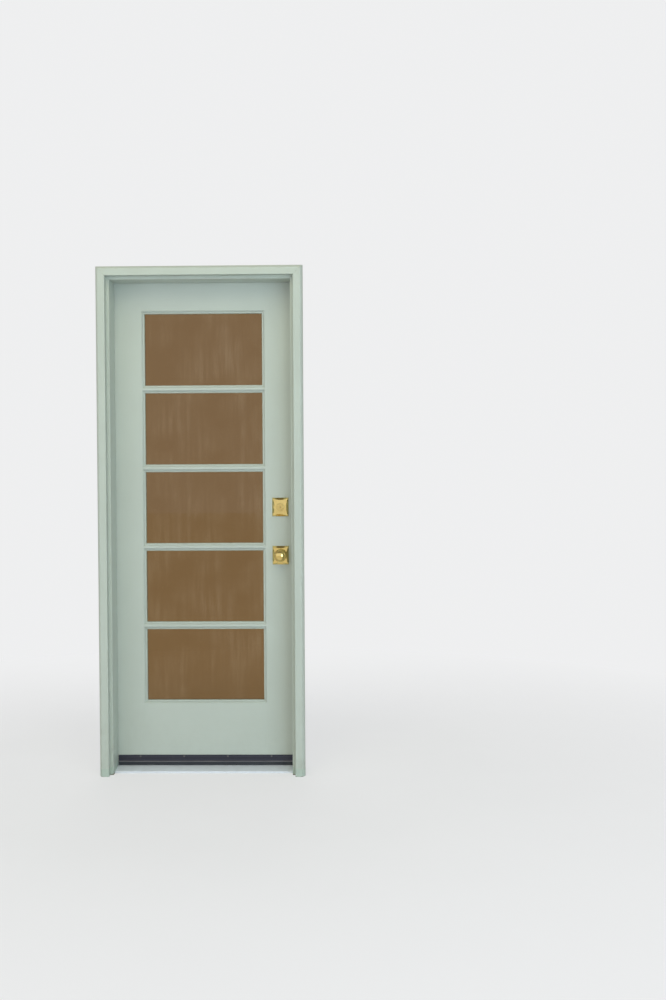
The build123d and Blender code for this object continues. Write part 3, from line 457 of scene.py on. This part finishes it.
def turned_piece(name, profile, foot, axis, steps=48, levels=1):
    """Spins a profile of radius and height, in millimetres, round an axis from its foot."""
    foot = Vector(foot)
    axis = Vector(axis)
    side = Vector((1, 0, 0))
    points = [foot + side * (radius / 1000) + axis * (height / 1000) for radius, height in profile]
    bpy.ops.object.select_all(action="DESELECT")
    bpy.ops.mesh.primitive_plane_add(size=0.001, location=points[0])
    piece = bpy.context.object
    bpy.ops.object.mode_set(mode="EDIT")
    bpy.ops.mesh.select_all(action="SELECT")
    bpy.ops.mesh.merge(type="CENTER")
    for start, end in zip(points, points[1:]):
        bpy.ops.mesh.extrude_region_move(TRANSFORM_OT_translate={"value": end - start})
    bpy.ops.mesh.select_all(action="SELECT")
    bpy.ops.mesh.spin(steps=steps, angle=2 * math.pi, center=foot, axis=axis)
    bpy.ops.mesh.select_all(action="SELECT")
    bpy.ops.mesh.remove_doubles(threshold=0.00001)
    bpy.ops.mesh.normals_make_consistent(inside=False)
    bpy.ops.object.mode_set(mode="OBJECT")
    settle(piece, name)
    if levels:
        use_modifier(piece, "SUBSURF", levels=levels, render_levels=levels)
    smooth(piece, 40)
    return piece


# Radius and height in millimetres, from the foot to the tip
KNOB_PROFILE = [
    (0, -6), (10.6, -6), (10.95, -5.6), (10.95, 11), (11.1, 14), (11.8, 18.5), (13.2, 23.5), (15.6, 28.4),
    (19, 32.8), (22.6, 35.3), (24.4, 36.2), (25.2, 37.0), (25.5, 38.2), (25.5, 39.6), (25.1, 40.8),
    (24.0, 41.9), (22.9, 43.2), (22.3, 44.3), (21.6, 44.6), (21.0, 44.2), (20.8, 43.8), (20.6, 44.6),
    (19.8, 46.7), (17.8, 49.2), (14.4, 51.4), (10.0, 52.9), (5.0, 53.8), (1.6, 53.98), (0, 54),
]
outside_knob = turned_piece("outside_knob_turned", KNOB_PROFILE, (BORE_X, 0, KNOB_Z), (0, -1, 0))
dress(outside_knob, "knobs", "polished_brass", POLISHED_BRASS, "outside_knob")
inside_knob = turned_piece("inside_knob_turned", KNOB_PROFILE, (BORE_X, LEAF_THICKNESS, KNOB_Z), (0, 1, 0))
dress(inside_knob, "knobs", "polished_brass", POLISHED_BRASS, "inside_knob")

PIN_TIP = [
    (6.0, 0), (6.0, 0.7), (5.4, 1.2), (4.6, 1.5), (5.0, 2.1), (4.9, 3.0), (3.9, 3.7), (2.0, 3.95), (0, 4),
]
PIN_RADIUS = 3.5
PIN_HALF = HINGE_HALF_HEIGHT * 1000
PIN_PROFILE = (
    [(radius, -PIN_HALF - height) for radius, height in reversed(PIN_TIP)]
    + [(PIN_RADIUS, -PIN_HALF), (PIN_RADIUS, PIN_HALF)]
    + [(radius, PIN_HALF + height) for radius, height in PIN_TIP]
)
for level, height in zip(LEVELS, HINGE_HEIGHTS):
    pin = turned_piece(f"{level}_hinge_pin_turned", PIN_PROFILE, (*HINGE_AXIS, height), (0, 0, 1), 32, 0)
    dress(pin, "frame", "polished_brass", HINGE_BRASS, f"{level}_hinge_pin")


# Screws with a cross recess


def cross_screw(length, head_radius, head_depth, shank_radius):
    """A countersunk screw with its head on the floor plane, facing up."""
    bpy.ops.object.select_all(action="DESELECT")
    bpy.ops.mesh.primitive_cylinder_add(
        vertices=28, radius=head_radius, depth=head_depth, location=(0, 0, -head_depth / 2)
    )
    screw = bpy.context.object
    bpy.ops.object.transform_apply(location=True)
    bpy.ops.object.mode_set(mode="EDIT")
    bpy.ops.mesh.select_mode(type="FACE")
    bpy.ops.mesh.select_all(action="DESELECT")
    bpy.ops.object.mode_set(mode="OBJECT")
    for face in screw.data.polygons:
        face.select = face.normal.z < -0.9
    bpy.ops.object.mode_set(mode="EDIT")
    share = shank_radius / head_radius
    bpy.ops.transform.resize(value=(share, share, 1), center_override=(0, 0, 0))
    bpy.ops.mesh.extrude_region_move(TRANSFORM_OT_translate={"value": (0, 0, head_depth - length)})
    bpy.ops.object.mode_set(mode="OBJECT")
    arm = head_radius * 0.62
    blade = head_radius * 0.15
    for size in ((arm, blade), (blade, arm)):
        bpy.ops.mesh.primitive_cube_add(size=2, location=(0, 0, 0))
        cutter = bpy.context.object
        cutter.scale = (*size, head_depth * 0.55)
        bpy.ops.object.transform_apply(scale=True)
        use_modifier(screw, "BOOLEAN", object=cutter, operation="DIFFERENCE", solver="EXACT")
        bpy.data.objects.remove(cutter)
    use_modifier(
        screw, "BEVEL", width=head_radius * 0.035, segments=1, limit_method="ANGLE",
        angle_limit=math.radians(50),
    )
    return screw


def screw_set(name, places, sizes, spin_seed):
    """Copies of one screw at each place and facing, joined into one piece."""
    spins = random.Random(spin_seed)
    pattern = cross_screw(*sizes)
    copies = []
    for head, facing in places:
        screw = pattern.copy()
        screw.data = pattern.data.copy()
        bpy.context.scene.collection.objects.link(screw)
        turn = Vector(facing).to_track_quat("Z", "Y").to_matrix().to_4x4()
        spin = Matrix.Rotation(spins.uniform(0, math.pi), 4, "Z")
        screw.data.transform(Matrix.Translation(head) @ turn @ spin)
        copies.append(screw)
    bpy.data.objects.remove(pattern)
    bpy.ops.object.select_all(action="DESELECT")
    for screw in copies:
        screw.select_set(True)
    bpy.context.view_layer.objects.active = copies[0]
    bpy.ops.object.join()
    piece = settle(copies[0], name)
    smooth(piece, 30)
    return piece


frame_places = []
leaf_places = []
for height in HINGE_HEIGHTS:
    for index, row in enumerate(HINGE_SCREW_ROWS):
        depth = HINGE_SCREW_DEPTHS[index % 2]
        frame_places.append(((-RABBET_X, depth, height + row), (1, 0, 0)))
        leaf_places.append(((-LEAF_HALF, depth, height + row), (-1, 0, 0)))
for middle, strike_offset in (
    (KNOB_Z, LATCH_STRIKE_SCREW_OFFSET), (DEADBOLT_Z, DEADBOLT_STRIKE_SCREW_OFFSET),
):
    for side in (-1, 1):
        frame_places.append(((RABBET_X, LOCK_MIDDLE_Y, middle + side * strike_offset), (-1, 0, 0)))
        plate_screw = (LEAF_HALF, LOCK_MIDDLE_Y, middle + side * FACEPLATE_SCREW_OFFSET)
        leaf_places.append((plate_screw, (1, 0, 0)))
sweep_places = [((x, SWEEP_FACE_Y, SWEEP_SCREW_Z), (0, -1, 0)) for x in SWEEP_SCREW_XS]
bolt_places = [
    ((BORE_X, LEAF_THICKNESS + ROSE_PROJECTION, middle + offset), (0, 1, 0))
    for middle in (KNOB_Z, DEADBOLT_Z) for offset in (-ROSE_BOLT_OFFSET, ROSE_BOLT_OFFSET)
]

# Each set's length, head radius, head depth and shank radius, and the seed of its heads' turns
screws = screw_set("frame_cross_screws", frame_places, (0.018, 0.0042, 0.0022, 0.002), 3)
dress(screws, "frame", "polished_brass", HINGE_BRASS, "frame_screws")
screws = screw_set("leaf_cross_screws", leaf_places, (0.025, 0.0042, 0.0022, 0.002), 5)
dress(screws, "leaf", "polished_brass", HINGE_BRASS, "leaf_screws")
screws = screw_set("sweep_cross_screws", sweep_places, (0.016, 0.0042, 0.0022, 0.002), 7)
dress(screws, "leaf", "sweep_fixings", SWEEP_SCREW_METAL, "sweep_screws")
screws = screw_set("rose_cross_bolts", bolt_places, (0.0495, 0.0036, 0.0019, 0.0018), 9)
dress(screws, "leaf", "lock_steel", POLISHED_BRASS, "lock_bolts")


# Sealant round each pane


def sealant_ring(name, foot_z):
    """A thin fillet of sealant in the corner between the moulding's lip and the pane."""
    middle = foot_z + LITE_HEIGHT / 2
    bpy.ops.object.select_all(action="DESELECT")
    bpy.ops.mesh.primitive_plane_add(
        size=2, location=(0, GLASS_FRONT_Y - 0.0002, middle), rotation=(math.pi / 2, 0, 0)
    )
    piece = bpy.context.object
    piece.scale = (SIGHT_X, LITE_HEIGHT / 2, 1)
    bpy.ops.object.transform_apply(location=True, rotation=True, scale=True)
    bpy.ops.object.mode_set(mode="EDIT")
    bpy.ops.mesh.select_all(action="SELECT")
    bpy.ops.mesh.inset(thickness=FILLET_WIDTH)
    bpy.ops.mesh.delete(type="FACE")
    bpy.ops.mesh.select_all(action="DESELECT")
    bpy.ops.object.mode_set(mode="OBJECT")
    for corner in piece.data.vertices:
        corner.select = abs(corner.co.x) > SIGHT_X - FILLET_WIDTH / 2
    bpy.ops.object.mode_set(mode="EDIT")
    bpy.ops.mesh.select_mode(type="VERT")
    bpy.ops.transform.translate(value=(0, -FILLET_WIDTH, 0))
    bpy.ops.mesh.select_all(action="SELECT")
    bpy.ops.mesh.normals_make_consistent(inside=False)
    bpy.ops.object.mode_set(mode="OBJECT")
    use_modifier(piece, "SOLIDIFY", thickness=FILLET_THICKNESS, offset=0)
    return settle(piece, name)


for index in range(LITE_COUNT):
    ring = sealant_ring(f"pane_sealant_{LITE_COUNT - index}", SIGHT_FOOT + index * LITE_PITCH)
    dress(ring, "leaf", "foam_strip", SEALANT)


# Camera, lamps, floor and backdrop

FOCAL_PIXELS = 1200.0
FRAME_HEIGHT_PIXELS = 1000.0
CAMERA_PLACE = (0.6386, -5.037, 1.2641)
CAMERA_YAW = 0.0191
CAMERA_PITCH = -0.0256
CAMERA_ROLL = -0.0052
camera_data = bpy.data.cameras.new("camera")
camera_data.sensor_width = 36.0
camera_data.lens = camera_data.sensor_width * FOCAL_PIXELS / FRAME_HEIGHT_PIXELS
camera = bpy.data.objects.new("camera", camera_data)
bpy.context.scene.collection.objects.link(camera)
camera.matrix_world = (
    Matrix.Translation(CAMERA_PLACE)
    @ Matrix.Rotation(CAMERA_YAW, 4, "Z")
    @ Matrix.Rotation(math.pi / 2 + CAMERA_PITCH, 4, "X")
    @ Matrix.Rotation(CAMERA_ROLL, 4, "Z")
)
bpy.context.scene.camera = camera


def lamp(name, place, target, size, power, colour):
    """A soft square lamp aimed at a point."""
    data = bpy.data.lights.new(name, "AREA")
    data.shape = "SQUARE"
    data.size = size
    data.energy = power
    data.color = colour
    light = bpy.data.objects.new(name, data)
    bpy.context.scene.collection.objects.link(light)
    light.location = place
    light.rotation_euler = (Vector(target) - Vector(place)).to_track_quat("-Z", "Y").to_euler()
    light.visible_camera = False
    light.visible_transmission = False
    return light


key = lamp("key", (1.3, -4.6, 1.6), (0.3, 0, 1.0), 6.0, 50, (1.0, 0.985, 0.95))
key.visible_glossy = False
canopy = lamp("canopy", (0.1, -2.5, 4.1), (0.0, 0, 1.5), 2.4, 42, (1.0, 0.96, 0.66))
canopy.visible_glossy = False
fill = lamp("fill", (-4.2, -5.0, 1.0), (0.3, 0, 1.0), 3.2, 66, (0.93, 0.96, 1.0))
fill.visible_glossy = False
lamp("sky", (2.9, -4.8, 1.0), (-0.1, 0, 0.2), 3.0, 96, (0.62, 0.83, 1.0))
rear = lamp("rear", (-0.6, 4.4, 2.2), (0, 0.1, 1.0), 3.0, 80, (1.0, 0.99, 0.97))
rear.visible_glossy = False

world = bpy.data.worlds.new("studio")
world.use_nodes = True
bpy.context.scene.world = world
tree = world.node_tree
tree.nodes.clear()
rays = tree.nodes.new("ShaderNodeLightPath").outputs
seen = maths(tree, "MAXIMUM", rays["Is Camera Ray"], rays["Is Transmission Ray"])
seen = maths(tree, "MAXIMUM", seen, rays["Is Glossy Ray"])
dim = put(tree, "ShaderNodeBackground", {"Color": (0.90, 0.93, 0.96, 1), "Strength": 0.50})
direction = tree.nodes.new("ShaderNodeTexCoord").outputs["Generated"]
rise = put(tree, "ShaderNodeSeparateXYZ", {"Vector": direction}).outputs["Z"]
steep = ramp(tree, maths(tree, "ABSOLUTE", rise), 0.38, 0.8)
steep = maths(tree, "MULTIPLY", steep, rays["Is Glossy Ray"])
tint = blend_colours(tree, steep, (0.86, 0.864, 0.87, 1), (0.16, 0.15, 0.12, 1))
pale = put(tree, "ShaderNodeBackground", {"Color": tint, "Strength": 1.0})
either = put(tree, "ShaderNodeMixShader", {"Fac": seen, 1: dim.outputs[0], 2: pale.outputs[0]})
put(tree, "ShaderNodeOutputWorld", {"Surface": either.outputs[0]})


def cove():
    """A floor that curves up into a backdrop behind the door."""
    bpy.ops.object.select_all(action="DESELECT")
    bpy.ops.mesh.primitive_plane_add(size=36, location=(0, -12, 0))
    sheet = bpy.context.object
    bpy.ops.object.transform_apply(location=True)
    bpy.ops.object.mode_set(mode="EDIT")
    bpy.ops.mesh.select_all(action="DESELECT")
    bpy.ops.object.mode_set(mode="OBJECT")
    for edge in sheet.data.edges:
        edge.select = all(sheet.data.vertices[end].co.y > 0 for end in edge.vertices)
    bpy.ops.object.mode_set(mode="EDIT")
    bpy.ops.mesh.select_mode(type="EDGE")
    bpy.ops.mesh.extrude_region_move(TRANSFORM_OT_translate={"value": (0, 0, 14)})
    bpy.ops.object.mode_set(mode="OBJECT")
    use_modifier(sheet, "BEVEL", width=2.5, segments=16, limit_method="ANGLE", angle_limit=math.radians(30))
    smooth(sheet, 60)
    return sheet


backdrop = cove()
backdrop.name = "pale_cove"
paper = bpy.data.materials.new("pale_paper")
paper.use_nodes = True
tree = paper.node_tree
tree.nodes.clear()
fibres = noise(tree, place_of(tree, (1, 1, 1)), 2.5, 4.0)
tone = ramp(tree, fibres, 0.3, 0.7, 0.79, 0.81)
colour = put(tree, "ShaderNodeCombineColor", {"Red": tone, "Green": tone, "Blue": tone}).outputs[0]
matt = put(tree, "ShaderNodeBsdfDiffuse", {"Color": colour})
rays = tree.nodes.new("ShaderNodeLightPath").outputs
seen = maths(tree, "MAXIMUM", rays["Is Camera Ray"], rays["Is Transmission Ray"])
seen = maths(tree, "MAXIMUM", seen, rays["Is Glossy Ray"])
not_through_glass = maths(tree, "SUBTRACT", 1.0, rays["Is Transmission Ray"])
thrown_back = maths(tree, "MULTIPLY", rays["Is Glossy Ray"], not_through_glass)
mirrored = blend_colours(tree, thrown_back, (0.86, 0.864, 0.87, 1), (0.66, 0.62, 0.53, 1))
glow = put(tree, "ShaderNodeEmission", {"Color": mirrored, "Strength": 1.0})
from_door = place_of(tree, (1, 1, 0))
far_off = put(tree, "ShaderNodeVectorMath", {0: from_door}, operation="LENGTH").outputs["Value"]
share = maths(tree, "MULTIPLY", seen, ramp(tree, far_off, 1.1, 3.4, 0.6, 1.0))
both = put(tree, "ShaderNodeMixShader", {"Fac": share, 1: matt.outputs[0], 2: glow.outputs[0]})
put(tree, "ShaderNodeOutputMaterial", {"Surface": both.outputs[0]})
backdrop.data.materials.append(paper)

bpy.context.scene.view_settings.view_transform = "Standard"
